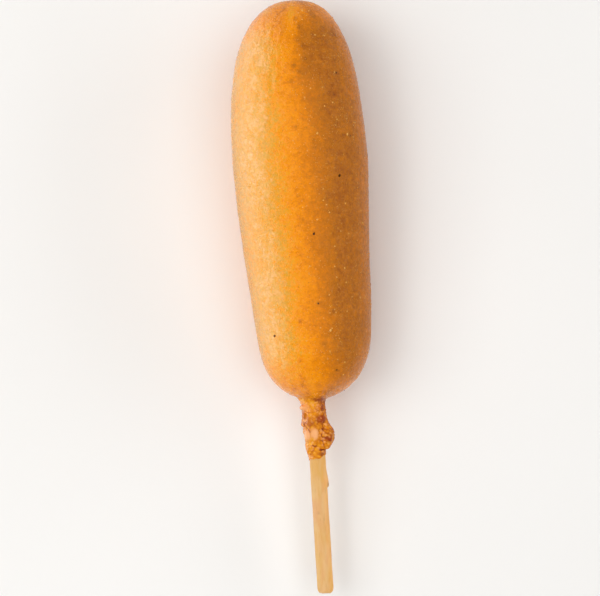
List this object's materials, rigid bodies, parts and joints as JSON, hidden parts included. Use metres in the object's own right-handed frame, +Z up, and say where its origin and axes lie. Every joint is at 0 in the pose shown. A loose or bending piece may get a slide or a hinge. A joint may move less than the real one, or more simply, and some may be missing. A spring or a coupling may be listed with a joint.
{
  "type": "corn dog",
  "caption": "Deep-fried corn dog lying on its side: a swollen golden-brown cornmeal crust, rounded at the tip, with a lumpy collar of batter on a plain round wooden stick.",
  "frame": {"origin": "middle of the underside of the bounding box: the table that the corn dog lies on is z = 0", "axes": "+Y along the corn dog from the free end of the stick to the rounded tip, +X to the right as the shown side is seen from above with the tip up, +Z up"},
  "size_m": [0.0396, 0.174, 0.0394],
  "materials": {
    "crust": "satin",
    "stick": "matte"
  },
  "bodies": {
    "root": {"crust": "crust", "stick": "stick"}
  },
  "joints": []
}
